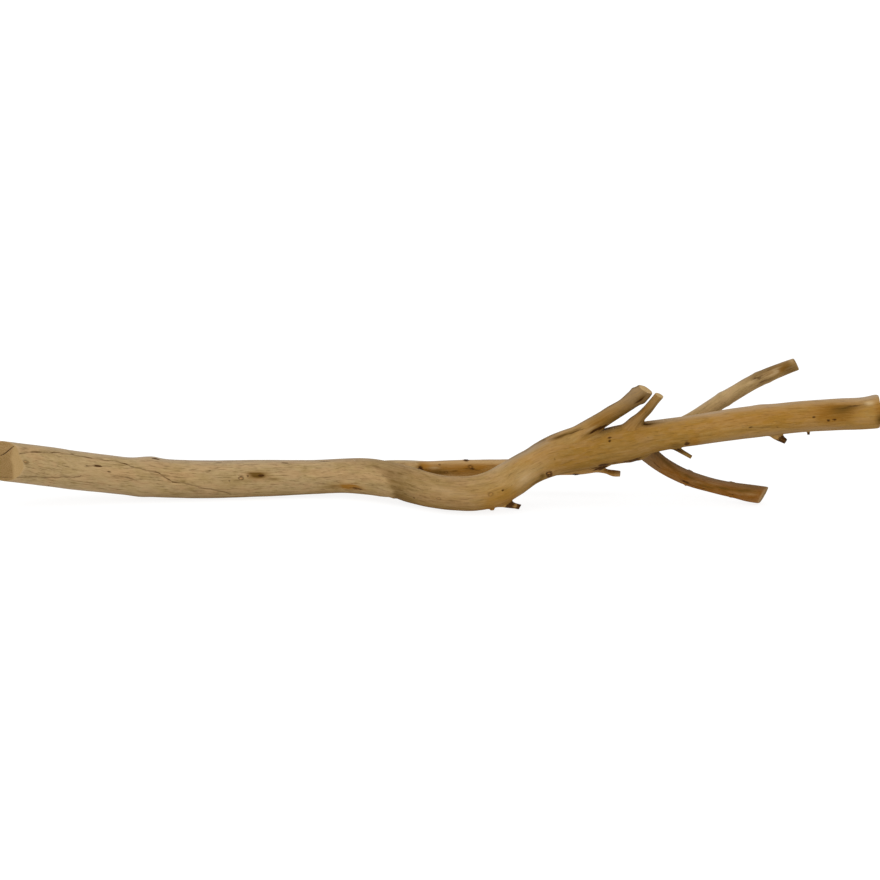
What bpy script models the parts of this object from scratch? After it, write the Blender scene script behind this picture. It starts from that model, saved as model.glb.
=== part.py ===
"""A fallen tree branch, bare of bark and lying on its side.

A thick limb runs the whole length. It forks behind its middle into a thinner rear limb that
passes behind it and climbs away to the right. A short lower branch leaves its underside and
touches the ground, and a sawn stub leaves its top. Small stubs, twigs and knobs are one with
the limb they grow from. X runs along the branch, -Y faces the viewer, Z is up, and the
branch rests on Z = 0. All sizes here are in millimetres until a mesh is made.
"""

import bpy
import numpy as np

for old in list(bpy.data.objects):
    bpy.data.objects.remove(old)

MM = 0.001
# the slanting saw cut at the thick end: how far its top and its front lean along the limb
BUTT_CUT = (0.2, 0.975)
# free space left where one limb is let into another
JOINT_GAP = 0.3

# Each station of a limb is (x, y, z, radius) on its centre line.
MAIN_LIMB = [
    (-570, -26, 67, 27), (-542.5, -15.5, 60.5, 27), (-512.5, -4.5, 53, 27), (-476.5, 5, 44.5, 26.5),
    (-440, 13, 38, 26), (-402.5, 19, 32.5, 26), (-382.5, 21, 31.5, 27.5), (-358, 24, 28.5, 26.5),
    (-310.5, 28, 26, 26), (-228.5, 34.5, 25.5, 25), (-146.5, 40, 26, 23.5), (-111.5, 39, 27.5, 24),
    (-88, 33.5, 28.5, 25), (-56, 18.5, 28.5, 25), (-20, -0.5, 25, 24.5), (8.5, -19.5, 23, 23),
    (39.5, -34.5, 23.5, 23), (68, -37, 25, 24), (92, -34.5, 30.5, 25), (114, -29, 41.5, 25),
    (140.5, -25, 58, 24), (167.5, -21, 69.5, 25), (201.5, -18, 75, 23.5), (235, -18, 83, 24.5),
    (259, -19.5, 88.5, 25.5), (280.5, -20, 93.5, 24.5), (301.5, -21, 99, 22), (320.5, -21.5, 102.5, 21),
    (368, -25, 110.5, 20.5), (434, -29, 122, 21.5), (500, -33, 130, 20.5), (552.5, -35.5, 134, 21),
    (581, -38.5, 136.5, 21.5), (603, -39.5, 139, 22),
]
REAR_LIMB = [
    (-104.5, 36, 31, 11), (-56.5, 41.5, 35.5, 12.5), (19.5, 47, 36, 12), (102.5, 44, 37, 12),
    (185, 40, 40.5, 12), (231.5, 37.5, 45.5, 11.5), (256, 36, 57.5, 11.5), (283, 34.5, 72.5, 11),
    (321, 34.5, 87.5, 10.5), (361.5, 34.5, 107.5, 10.5), (418, 37.5, 143.5, 10.5),
    (450.5, 40, 162, 10), (480.5, 43, 175, 9.5), (505, 44, 184.5, 9),
]
LOWER_BRANCH = [
    (281, -15.5, 90.5, 11.5), (298.5, -6, 74, 12), (321.5, 2, 54, 11), (352, 5, 36.5, 10.5),
    (385, 3.5, 25.5, 10), (418, 1, 18.5, 10.5), (442, -2, 14.5, 12), (460.5, -3, 12, 12),
]
UPPER_STUB = [
    (159.5, -20, 73.5, 13.5), (175.5, -20, 85, 15), (189, -20, 93, 14.5), (203.5, -21, 101.5, 12.5),
    (218, -22, 111, 11.5), (234, -23.5, 121.5, 11), (249.5, -25, 132.5, 10.5),
    (265.5, -26, 143, 10), (277, -26, 152, 11), (287, -26, 159, 11.5), (293.5, -26, 166, 10.5),
]


def smooth_run(stations, step):
    """Cubic through the stations against chord length, read about every step."""
    knots = np.array(stations, float)
    chord = np.linalg.norm(np.diff(knots[:, :3], axis=0), axis=1)
    along = np.concatenate([[0.0], np.cumsum(chord)])
    slope = np.gradient(knots, along, axis=0)
    read = np.linspace(0.0, along[-1], max(2, round(along[-1] / step) + 1))
    k = np.clip(np.searchsorted(along, read) - 1, 0, len(along) - 2)
    h = (along[k + 1] - along[k])[:, None]
    w = (read - along[k])[:, None] / h
    run = (1 + 2 * w) * (1 - w) ** 2 * knots[k] + w * (1 - w) ** 2 * h * slope[k]
    run += w * w * (3 - 2 * w) * knots[k + 1] + w * w * (w - 1) * h * slope[k + 1]
    return read, run


def tube(name, stations, step, sides, start_slant=(0, 0), end_slant=(0, 0), grow=0.0):
    """Closed tube round a centre line, with flat ends.

    A slant is (up, front): how far the top and the front of that end lean along the line,
    for each unit of radius. It fades out over three radii.
    """
    along, run = smooth_run(stations, step)
    ahead = np.gradient(run[:, :3], axis=0)
    ahead /= np.linalg.norm(ahead, axis=1)[:, None]
    up = np.array([0, 0, 1.0]) - ahead * ahead[:, 2:]
    up /= np.linalg.norm(up, axis=1)[:, None]
    front = np.cross(ahead, up)
    turn = np.linspace(0, 2 * np.pi, sides, endpoint=False)
    radius = run[:, 3:] * (1 + 0.012 * np.cos(3 * turn[None] + along[:, None] / 90)) + grow
    rise = radius * np.cos(turn)
    out = radius * np.sin(turn)
    near_start = np.clip(1 - along / (3 * run[0, 3]), 0, 1)[:, None]
    near_end = np.clip(1 - (along[-1] - along) / (3 * run[-1, 3]), 0, 1)[:, None]
    lean = near_start * (start_slant[0] * rise + start_slant[1] * out)
    lean += near_end * (end_slant[0] * rise + end_slant[1] * out)
    points = run[:, None, :3] + rise[..., None] * up[:, None] + out[..., None] * front[:, None]
    points += lean[..., None] * ahead[:, None]
    rings = len(run)
    ring, side = np.meshgrid(np.arange(rings - 1), np.arange(sides), indexing="ij")
    here = ring * sides + side
    beside = ring * sides + (side + 1) % sides
    faces = np.stack([here, beside, beside + sides, here + sides], axis=-1).reshape(-1, 4)
    ends = [list(range(sides))[::-1], list(range((rings - 1) * sides, rings * sides))]
    mesh = bpy.data.meshes.new(name)
    mesh.from_pydata((points * MM).reshape(-1, 3).tolist(), [], faces.tolist() + ends)
    mesh.shade_smooth()
    mesh.set_sharp_from_angle(angle=0.6)
    solid = bpy.data.objects.new(name, mesh)
    bpy.context.scene.collection.objects.link(solid)
    return solid


def combine(solid, tool, operation):
    """Joins the tool to the solid, or cuts it away, and keeps the tool as a hidden guide."""
    tool.hide_render = True
    tool.display_type = "WIRE"
    step = solid.modifiers.new(operation.lower() + "_" + tool.name, "BOOLEAN")
    step.operation = operation
    step.solver = "EXACT"
    step.object = tool


def wood(solid, colour, roughness):
    """Plain bare wood in one colour."""
    skin = bpy.data.materials.new(solid.name + "_wood")
    skin.use_nodes = True
    shader = skin.node_tree.nodes["Principled BSDF"]
    shader.inputs["Base Color"].default_value = (*colour, 1)
    shader.inputs["Roughness"].default_value = roughness
    shader.inputs["Metallic"].default_value = 0
    solid.data.materials.append(skin)


# Main limb: the thick limb, its sawn butt turned to the viewer, and what grows out of it
main_limb = tube("main_limb", MAIN_LIMB, 14, 20, start_slant=BUTT_CUT, end_slant=(0.05, 0))
wood(main_limb, (0.36, 0.23, 0.11), 0.75)

# a short side branch, sawn off, standing on top of the limb
short_stub = [
    (272, -23.5, 103.5, 13.5), (280, -26, 118.5, 10), (288, -28, 129, 7),
    (296, -30, 138.5, 6.5), (304, -31.5, 149.5, 6), (311.5, -33, 159.5, 6),
]
combine(main_limb, tube("short_stub", short_stub, 6, 12, end_slant=(-0.2, -0.15)), "UNION")

# a broken stub that carries the low bend on, and a blunt knob beside it
broken_stub = [(100.5, -33, 14, 9.5), (111, -34.5, 9.5, 6), (119.5, -35.5, 7, 4), (127.5, -37, 5.5, 3.5)]
combine(main_limb, tube("broken_stub", broken_stub, 5, 10, end_slant=(0.3, 0)), "UNION")
under_knob = [(89, -37, 12, 5.5), (89.5, -40, 7, 4), (89.8, -42.5, 3, 2.6)]
combine(main_limb, tube("under_knob", under_knob, 3, 8), "UNION")

# a thin twig, a torn wedge and a pea-sized knob along the underside
thin_twig = [(327, -25, 91, 4.5), (337, -26, 84.5, 3.5), (346.5, -27.5, 79, 3), (357.2, -29.3, 73, 2.5)]
combine(main_limb, tube("thin_twig", thin_twig, 6, 8), "UNION")
torn_wedge = [
    (465, -31.5, 111.5, 10), (471.5, -33, 104, 7), (477, -34.5, 99.5, 4.5),
    (482, -35.5, 96.5, 3.5),
]
combine(main_limb, tube("torn_wedge", torn_wedge, 5, 8), "UNION")
small_knob = [(511.5, -34.5, 111.5, 2.5), (512, -35.5, 106, 1.6)]
combine(main_limb, tube("small_knob", small_knob, 4, 8), "UNION")

# Rear limb: leaves the back of the main limb at the fork and ends in the high branch
rear_limb = tube("rear_limb", REAR_LIMB, 12, 14, end_slant=(-0.15, -0.2))
wood(rear_limb, (0.3, 0.17, 0.075), 0.75)

# a thin side stub that carries straight on where the rear limb bends up, and two knobs
side_stub = [
    (223.5, 39, 40, 7), (239, 38, 37, 4.5), (250, 37.5, 34, 3.5), (258, 36.5, 32, 4.5),
    (268, 36, 31.3, 4),
]
combine(rear_limb, tube("side_stub", side_stub, 5, 10), "UNION")
top_knob = [(52.5, 47, 41.5, 5.5), (55.5, 47, 48, 2)]
combine(rear_limb, tube("top_knob", top_knob, 4, 8), "UNION")
dark_knob = [(205, 37.5, 35, 5), (207.5, 34.5, 30.5, 2)]
combine(rear_limb, tube("dark_knob", dark_knob, 4, 8), "UNION")

# the main limb, grown by the joint gap, is what the rear limb is cut to fit
rear_seat = tube("rear_seat", MAIN_LIMB, 14, 20, start_slant=BUTT_CUT, grow=JOINT_GAP)
combine(rear_limb, rear_seat, "DIFFERENCE")

# Lower branch: leaves the underside of the main limb and touches the ground with its tip
lower_branch = tube("lower_branch", LOWER_BRANCH, 9, 14, end_slant=(0.3, -0.38))
wood(lower_branch, (0.22, 0.11, 0.035), 0.75)
for knob_name, knob in [
    ("lower_knob_near", [(354, 1, 32.5, 6), (356, -2, 25.5, 2.5)]),
    ("lower_knob_top", [(359, 6.5, 39.5, 5), (361.5, 7.5, 44.5, 2.5)]),
    ("lower_knob_far", [(416.5, 3.5, 24.5, 5), (418.5, 5, 28.5, 2.5)]),
    ("lower_knob_under", [(416, -3, 16.5, 6), (415, -6, 10.5, 2.5)]),
]:
    combine(lower_branch, tube(knob_name, knob, 4, 8), "UNION")
lower_seat = tube("lower_seat", MAIN_LIMB, 14, 20, start_slant=BUTT_CUT, grow=JOINT_GAP)
combine(lower_branch, lower_seat, "DIFFERENCE")

# Upper stub: a sawn branch that leaves the top of the main limb in a long ridge
upper_stub = tube("upper_stub", UPPER_STUB, 8, 16, end_slant=(-0.25, -0.15))
wood(upper_stub, (0.27, 0.16, 0.07), 0.75)
stub_spur = [(281, -26, 159.5, 7.5), (287, -27, 153.5, 5.5), (290.5, -27.5, 149.5, 3)]
combine(upper_stub, tube("stub_spur", stub_spur, 4, 8), "UNION")
upper_seat = tube("upper_seat", MAIN_LIMB, 14, 20, start_slant=BUTT_CUT, grow=JOINT_GAP)
combine(upper_stub, upper_seat, "DIFFERENCE")
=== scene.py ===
"""The looks of the fallen branch: bare weathered wood lying on a pale floor."""

import bpy
import numpy as np
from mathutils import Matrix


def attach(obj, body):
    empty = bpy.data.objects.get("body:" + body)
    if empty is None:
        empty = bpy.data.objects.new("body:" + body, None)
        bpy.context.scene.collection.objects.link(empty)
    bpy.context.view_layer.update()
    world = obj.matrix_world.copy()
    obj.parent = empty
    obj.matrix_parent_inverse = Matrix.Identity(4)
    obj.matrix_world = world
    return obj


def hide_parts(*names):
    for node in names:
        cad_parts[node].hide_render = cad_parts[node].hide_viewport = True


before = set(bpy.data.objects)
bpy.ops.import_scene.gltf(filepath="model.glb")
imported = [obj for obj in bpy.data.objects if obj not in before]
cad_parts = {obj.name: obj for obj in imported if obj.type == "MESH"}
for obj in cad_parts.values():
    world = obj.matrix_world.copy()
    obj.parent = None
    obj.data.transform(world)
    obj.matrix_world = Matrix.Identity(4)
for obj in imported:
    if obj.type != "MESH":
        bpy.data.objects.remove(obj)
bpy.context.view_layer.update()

# THE THICK LIMB
# The main length of the branch, bare of bark, tan at its sawn butt and more orange where it
# thins out. It grew in one piece with its small stubs, twig and knobs, so they share its skin.
MM = 0.001

# the middle of the limb and its radius, in millimetres
thick_limb_line = [
    (-570, -26, 67, 27), (-542.5, -15.5, 60.5, 27), (-512.5, -4.5, 53, 27), (-476.5, 5, 44.5, 26.5),
    (-440, 13, 38, 26), (-402.5, 19, 32.5, 26), (-382.5, 21, 31.5, 27.5), (-358, 24, 28.5, 26.5),
    (-310.5, 28, 26, 26), (-228.5, 34.5, 25.5, 25), (-146.5, 40, 26, 23.5), (-111.5, 39, 27.5, 24),
    (-88, 33.5, 28.5, 25), (-56, 18.5, 28.5, 25), (-20, -0.5, 25, 24.5), (8.5, -19.5, 23, 23),
    (39.5, -34.5, 23.5, 23), (68, -37, 25, 24), (92, -34.5, 30.5, 25), (114, -29, 41.5, 25),
    (140.5, -25, 58, 24), (167.5, -21, 69.5, 25), (201.5, -18, 75, 23.5), (235, -18, 83, 24.5),
    (259, -19.5, 88.5, 25.5), (280.5, -20, 93.5, 24.5), (301.5, -21, 99, 22), (320.5, -21.5, 102.5, 21),
    (368, -25, 110.5, 20.5), (434, -29, 122, 21.5), (500, -33, 130, 20.5), (552.5, -35.5, 134, 21),
    (581, -38.5, 136.5, 21.5), (603, -39.5, 139, 22),
]


def set_out(line, rows, sides, start_slant=(0, 0), end_slant=(0, 0), start_face=3, end_face=8, twist=0.0):
    """Grid of a limb: rows along its centre line, columns round it.

    Centre and radius are cubics through (x, y, z, radius) against chord length. At each end a
    few more rows shrink the section by rho, from 1 to nearly 0, and so make the flat face. The
    rim of the far face is worn: the radius falls off by a twentieth there. The section bulges
    very slightly on three sides, which wind round the limb.
    Turn 0 is the top of the limb and a quarter turn faces the viewer. A slant is how far the
    top and the front of an end lean along the line for each unit of radius, and it fades out
    three radii from the end. Outer is true on the round skin and false on the end faces, and
    the gaps to cracks and eyes start at 9, which is far from any.
    """
    knots = np.array(line, float)
    chord = np.linalg.norm(np.diff(knots[:, :3], axis=0), axis=1)
    reach = np.concatenate([[0.0], np.cumsum(chord)])
    slope = np.gradient(knots, reach, axis=0)
    read = np.linspace(0.0, reach[-1], rows)
    k = np.clip(np.searchsorted(reach, read) - 1, 0, len(reach) - 2)
    h = (reach[k + 1] - reach[k])[:, None]
    w = (read - reach[k])[:, None] / h
    run = (1 + 2 * w) * (1 - w) ** 2 * knots[k] + w * (1 - w) ** 2 * h * slope[k]
    run += w * w * (3 - 2 * w) * knots[k + 1] + w * w * (w - 1) * h * slope[k + 1]
    ahead = np.gradient(run[:, :3], axis=0)
    ahead /= np.linalg.norm(ahead, axis=1)[:, None]
    up = np.array([0, 0, 1.0]) - ahead * ahead[:, 2:]
    up /= np.linalg.norm(up, axis=1)[:, None]
    first = np.zeros(start_face, int)
    last = np.full(end_face, rows - 1)
    row = np.concatenate([first, np.arange(rows), last])
    rho = np.concatenate([
        np.arange(1, start_face + 1) / (start_face + 1.0) if start_face else [],
        np.ones(rows),
        np.arange(end_face, 0, -1) / (end_face + 1.0) if end_face else [],
    ])
    limb = {"sides": sides, "rho": rho, "body": slice(start_face, start_face + rows), "twist": twist}
    limb["outer"] = (rho == 1)[:, None]
    limb["along"] = read[row]
    limb["centre"] = run[row, :3]
    limb["ahead"] = ahead[row]
    limb["up"] = up[row]
    limb["front"] = np.cross(ahead, up)[row]
    limb["core"] = run[row, 3]
    limb["girth"] = run[:, 3].mean()
    limb["turn"] = np.linspace(0, 2 * np.pi, sides, endpoint=False)
    near_start = np.clip(1 - limb["along"] / (3 * run[0, 3]), 0, 1)
    near_end = np.clip(1 - (read[-1] - limb["along"]) / (3 * run[-1, 3]), 0, 1)
    limb["lean_up"] = near_start * start_slant[0] + near_end * end_slant[0]
    limb["lean_front"] = near_start * start_slant[1] + near_end * end_slant[1]
    turn = limb["turn"][None]
    along = limb["along"][:, None]
    limb["radius"] = limb["core"][:, None] * (1 + 0.012 * np.cos(3 * turn + along / 90))
    limb["radius"] *= 1 - 0.05 * np.exp(-(read[-1] - along) / (0.07 * run[-1, 3]))
    lean = limb["lean_up"][:, None] * np.cos(turn) + limb["lean_front"][:, None] * np.sin(turn)
    limb["arc"] = along + lean * limb["core"][:, None]
    # the grey mark is partly painted sheen on the edges, and the dusky and knot marks are partly painted
    # shade, besides the wood's own colour
    limb["marks"] = {
        name: np.zeros(limb["radius"].shape)
        for name in ("crack", "eye", "knot", "stain", "pale", "warm", "grey", "dusk", "cut")
    }
    limb["marks"]["crack_gap"] = np.full(limb["radius"].shape, 9.0)
    limb["marks"]["eye_gap"] = np.full(limb["radius"].shape, 9.0)
    limb["marks"]["cut"][:] = ~limb["outer"]
    limb["face_push"] = np.zeros(limb["radius"].shape)
    return limb


def place(limb, radius, row, column):
    """Point of the skin: centre + rho * radius * (cos turn * up + sin turn * front), leant ahead."""
    turn = limb["turn"][column]
    rise = limb["rho"][row] * radius * np.cos(turn)
    out = limb["rho"][row] * radius * np.sin(turn)
    lean = limb["lean_up"][row] * rise + limb["lean_front"][row] * out + limb["face_push"][row, column]
    point = limb["centre"][row] + rise[..., None] * limb["up"][row] + out[..., None] * limb["front"][row]
    return point + lean[..., None] * limb["ahead"][row]


def waves(limb, seed, least, most, stretch, count=14):
    """Ripples of the skin: the sum of cos(n * turn + k * along + phase), with n waves round the
    limb and k drawn so that each wave is about stretch times longer than it is wide."""
    draw = np.random.default_rng(seed)
    n = draw.integers(least, most + 1, count)
    k = draw.normal(0, 1, count) * n / (limb["girth"] * stretch)
    phase = draw.uniform(0, 2 * np.pi, count)
    along = limb["along"][:, None, None]
    turn = limb["turn"][None, :, None] + limb["twist"] * along
    return np.cos(n * turn + k * along + phase).sum(-1) / np.sqrt(count / 2)


def half_turn(angle):
    """The same angle between minus and plus half a turn."""
    return (angle + np.pi) % (2 * np.pi) - np.pi


def spot(limb, along, degrees, length, width, edge=1):
    """Round mark: exp(-d^(2 * edge)), d the distance over the skin in units of half its length and
    width. A greater edge gives it a clearer border."""
    over = (limb["arc"] - along) / length
    round_it = half_turn(limb["turn"][None] - np.radians(degrees)) * limb["core"][:, None] / width
    return np.exp(-(over ** 2 + round_it ** 2) ** edge) * limb["outer"]


def swell(limb, rows):
    """Swellings and hollows: each row is the place and size of a spot, and its height."""
    for along, degrees, length, width, height in rows:
        limb["radius"] += height * spot(limb, along, degrees, length, width)


def dab(limb, rows):
    """Marks on the skin: each row is a mark, the place and size of a spot, and its share."""
    for mark, along, degrees, length, width, share in rows:
        limb["marks"][mark] += share * spot(limb, along, degrees, length, width)


def strip(limb, turn, width):
    """Mark all along one side of a limb: exp(-(a / width)^2), a the angle from the given turn."""
    return np.exp(-(half_turn(limb["turn"][None] - turn) / width) ** 2)


def course(limb, places, shares):
    """Share of a mark along a limb: straight lines between the shares at the given places."""
    return np.interp(limb["along"], places, shares)[:, None]


def trail(limb, path, wander=0.6, seed=5):
    """Distance over the skin from a line drawn through (along, degrees) points, and the side of
    the line, plus where the turn is greater. The line wanders a little on a slow sum of sines.
    The end faces count as 99 further away."""
    wobble = np.sin(limb["arc"] / 7.3 + seed) + 0.7 * np.sin(limb["arc"] / 3.1 + 2 * seed)
    best = np.full(limb["arc"].shape, 1e9)
    side = np.zeros(limb["arc"].shape)
    core = limb["core"][:, None]
    for (s0, a0), (s1, a1) in zip(path[:-1], path[1:]):
        x = limb["arc"] - s0
        y = half_turn(limb["turn"][None] - np.radians(a0)) * core + wander * wobble
        dx = s1 - s0
        dy = half_turn(np.radians(a1 - a0)) * core
        t = np.clip((x * dx + y * dy) / (dx * dx + dy * dy), 0, 1)
        away = np.hypot(x - t * dx, y - t * dy)
        nearer = away < best
        best = np.where(nearer, away, best)
        side = np.where(nearer, np.sign(y * dx - x * dy), side)
    return best + 99 * ~limb["outer"], side


def cut_crack(limb, path, width, depth, dark, seed=5):
    """Drying crack along a line: the skin sinks by depth * exp(-(d / width)^2) between two low
    lips. The signed distance and a strength that fades with it let the wood draw a dark line
    that is finer than the grid."""
    away, side = trail(limb, path, seed=seed)
    broken = 0.7 + 0.3 * np.sin(limb["arc"] / 5.3 + seed) * np.sin(limb["arc"] / 13.0 + seed)
    limb["radius"] -= depth * np.exp(-(away / width) ** 2) * broken
    limb["radius"] += 0.2 * np.exp(-((away - 2.2 * width) / (1.3 * width)) ** 2)
    nearer = away < np.abs(limb["marks"]["crack_gap"])
    limb["marks"]["crack_gap"] = np.where(nearer, away * side, limb["marks"]["crack_gap"])
    strength = dark * np.exp(-(away / 3.6) ** 2) * broken
    limb["marks"]["crack"] = np.where(nearer, strength, limb["marks"]["crack"])


def set_knot(limb, along, degrees, size, height, dark, tall=1.0):
    """Knot: a collar raised at distance 1 from its middle, a sunk eye at 0, both darker. Tall is
    its size round the limb over its size along it."""
    over = (limb["arc"] - along) / (1.25 * size)
    round_it = half_turn(limb["turn"][None] - np.radians(degrees)) * limb["core"][:, None] / (size * tall)
    away = np.hypot(over, round_it) + 9 * ~limb["outer"]
    limb["radius"] += height * np.exp(-((away - 1) / 0.45) ** 2) - 0.8 * height * np.exp(-(away / 0.5) ** 2)
    nearer = away < limb["marks"]["eye_gap"]
    limb["marks"]["eye_gap"] = np.where(nearer, away, limb["marks"]["eye_gap"])
    limb["marks"]["eye"] = np.where(nearer, dark * np.exp(-(away / 2.2) ** 2), limb["marks"]["eye"])


def gap_to(points, limb):
    """Distance of points outside a limb's skin: to the nearest place of its centre line, less the
    radius there at the same turn."""
    rows = np.arange(*limb["body"].indices(len(limb["rho"])))
    centre = limb["centre"][rows]
    nearest = ((centre ** 2).sum(1)[None] - 2 * points @ centre.T).argmin(1)
    off = points - centre[nearest]
    row = rows[nearest]
    past = (off * limb["ahead"][row]).sum(1)
    flat = off - past[:, None] * limb["ahead"][row]
    rise = (flat * limb["up"][row]).sum(1)
    out = (flat * limb["front"][row]).sum(1)
    column = np.arctan2(out, rise) % (2 * np.pi) / (2 * np.pi) * limb["sides"]
    low = np.floor(column).astype(int)
    part = column - low
    pitch = limb["along"][rows[1]] - limb["along"][rows[0]]
    step = np.clip(row + np.sign(past).astype(int), rows[0], rows[-1])
    share = np.clip(np.abs(past) / pitch, 0, 1)
    skin = limb["radius"]
    here = skin[row, low % limb["sides"]] * (1 - part) + skin[row, (low + 1) % limb["sides"]] * part
    there = skin[step, low % limb["sides"]] * (1 - part) + skin[step, (low + 1) % limb["sides"]] * part
    beyond = np.where(nearest == 0, np.maximum(-past, 0), 0)
    beyond += np.where(row == rows[-1], np.maximum(past, 0), 0)
    return np.sqrt(rise ** 2 + out ** 2 + beyond ** 2) - here * (1 - share) - there * share


def draw_up(limb, other, fillet):
    """Draws a limb's skin up to one that it grows together with. The new radius is where the
    smooth least of the two distances is nought, and it stops at a quarter of the fillet, where
    the other limb's own skin takes over. A fillet is one size, or the sizes at some places of X."""
    skin = limb.setdefault("skin", limb["radius"].copy())
    rows = np.arange(*limb["body"].indices(len(limb["rho"])))
    row, column = [index.ravel() for index in np.meshgrid(rows, np.arange(limb["sides"]), indexing="ij")]
    plain = limb["radius"][row, column]
    point = place(limb, plain, row, column)
    places, sizes = fillet if isinstance(fillet, tuple) else ([0], [fillet])
    low = other["centre"].min(0) - other["core"].max() - 2 * max(sizes)
    high = other["centre"].max(0) + other["core"].max() + 2 * max(sizes)
    close = ((point > low) & (point < high)).all(1)
    row, column, plain, point = row[close], column[close], plain[close], point[close]
    fillet = np.interp(point[:, 0], places, sizes)
    close = gap_to(point, other) < 1.2 * fillet
    row, column, plain, fillet = row[close], column[close], plain[close], fillet[close]
    radius = plain.copy()
    for _ in range(14):
        own = radius - plain
        gap = gap_to(place(limb, radius, row, column), other)
        share = np.clip(0.5 + 0.5 * (gap - own) / fillet, 0, 1)
        least = gap * (1 - share) + own * share - fillet * share * (1 - share)
        radius = np.clip(radius - 0.75 * least, plain, plain + fillet / 4)
    skin[row, column] = np.maximum(skin[row, column], radius)


def grow_out(parent, line, rows, sides, fillet, **ends):
    """A growth out of a parent limb: its own grid, both skins drawn together."""
    growth = set_out(line, rows, sides, **ends)
    growth["radius"] += 0.012 * growth["core"][:, None] * waves(growth, 31, 3, 7, 4)
    draw_up(growth, parent, fillet)
    draw_up(parent, growth, fillet)
    return growth


def share_marks(growth, parent, reach):
    """Near its root a growth takes the tone of its parent: each mark is mixed with the parent's at
    the nearest place, by exp(-(gap / reach)^2), gap being the distance outside the parent's skin."""
    row, column = np.meshgrid(np.arange(len(growth["rho"])), np.arange(growth["sides"]), indexing="ij")
    row, column = row.ravel(), column.ravel()
    point = place(growth, growth.get("skin", growth["radius"])[row, column], row, column)
    share = np.exp(-(np.maximum(gap_to(point, parent), 0) / reach) ** 2)
    body = np.arange(*parent["body"].indices(len(parent["rho"])))
    centre = parent["centre"][body]
    near = body[((centre ** 2).sum(1)[None] - 2 * point @ centre.T).argmin(1)]
    off = point - parent["centre"][near]
    turn = np.arctan2((off * parent["front"][near]).sum(1), (off * parent["up"][near]).sum(1))
    beside = np.round(turn / (2 * np.pi) * parent["sides"]).astype(int) % parent["sides"]
    for mark in ("knot", "stain", "pale", "warm", "grey", "dusk"):
        own = growth["marks"][mark][row, column]
        growth["marks"][mark][row, column] = own + (parent["marks"][mark][near, beside] - own) * share


def skin_mesh(name, limbs):
    """One mesh of closed skins. Each is its grid of points wrapped round into quads, with a pole
    at the middle of each end face, and carries its grain place and its marks at every point."""
    points, faces, marks, grain = [], [], {}, []
    start = 0
    for number, limb in enumerate(limbs):
        rows, sides = limb["radius"].shape
        row, column = np.meshgrid(np.arange(rows), np.arange(sides), indexing="ij")
        skin = limb.get("skin", limb["radius"])
        grid = place(limb, skin, row, column)
        ring, side = row[:-1].ravel(), column[:-1].ravel()
        here = start + ring * sides + side
        beside = start + ring * sides + (side + 1) % sides
        faces += np.stack([here, beside, beside + sides, here + sides], -1).tolist()
        pole = start + rows * sides
        rim = np.arange(sides)
        after = (rim + 1) % sides
        end = start + (rows - 1) * sides
        faces += np.stack([np.full(sides, pole), start + after, start + rim], -1).tolist()
        faces += np.stack([np.full(sides, pole + 1), end + rim, end + after], -1).tolist()
        ends = limb["centre"][[0, -1]] + limb["face_push"][[0, -1]].mean(1)[:, None] * limb["ahead"][[0, -1]]
        points.append(np.concatenate([grid.reshape(-1, 3), ends]))
        wound = limb["turn"][None] + limb["twist"] * limb["along"][:, None]
        depth = limb["rho"][:, None] * limb["girth"]
        along = limb["along"][:, None] + 0 * wound
        fibre = np.stack([along, depth * np.cos(wound), depth * np.sin(wound)], -1)
        tips = np.array([[limb["along"][0], 0, 0], [limb["along"][-1], 0, 0]])
        grain.append(np.concatenate([fibre.reshape(-1, 3), tips]) + [2000.0 * number, 0, 0])
        for mark, value in limb["marks"].items():
            value = value if mark.endswith("gap") else np.clip(value, 0, 1)
            marks.setdefault(mark, []).append(np.concatenate([value.ravel(), value[[0, -1]].mean(1)]))
        start += rows * sides + 2
    mesh = bpy.data.meshes.new(name)
    mesh.from_pydata((np.concatenate(points) * MM).tolist(), [], faces)
    mesh.shade_smooth()
    layer = mesh.attributes.new("grain", "FLOAT_VECTOR", "POINT")
    layer.data.foreach_set("vector", (np.concatenate(grain) * MM).ravel())
    for mark, value in marks.items():
        mesh.attributes.new(mark, "FLOAT", "POINT").data.foreach_set("value", np.concatenate(value))
    piece = bpy.data.objects.new(name, mesh)
    bpy.context.scene.collection.objects.link(piece)
    return piece


def reshape(piece, limb):
    """Gives the first skin of a finished mesh its latest radius and marks."""
    rows, sides = limb["radius"].shape
    row, column = np.meshgrid(np.arange(rows), np.arange(sides), indexing="ij")
    place_now = np.empty(len(piece.data.vertices) * 3)
    piece.data.vertices.foreach_get("co", place_now)
    place_now[: rows * sides * 3] = place(limb, limb["skin"], row, column).ravel() * MM
    piece.data.vertices.foreach_set("co", place_now)
    marks = piece.data.attributes
    for mark, value in limb["marks"].items():
        kept = np.empty(len(piece.data.vertices))
        marks[mark].data.foreach_get("value", kept)
        kept[: rows * sides] = (value if mark.endswith("gap") else np.clip(value, 0, 1)).ravel()
        marks[mark].data.foreach_set("value", kept)
    piece.data.update()


def screen_colour(red, green, blue):
    """Linear colour of a screen colour from 0 to 255: ((c + 0.055) / 1.055)^2.4."""
    part = np.array([red, green, blue]) / 255
    return (*(((part + 0.055) / 1.055) ** 2.4).tolist(), 1.0)


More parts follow.
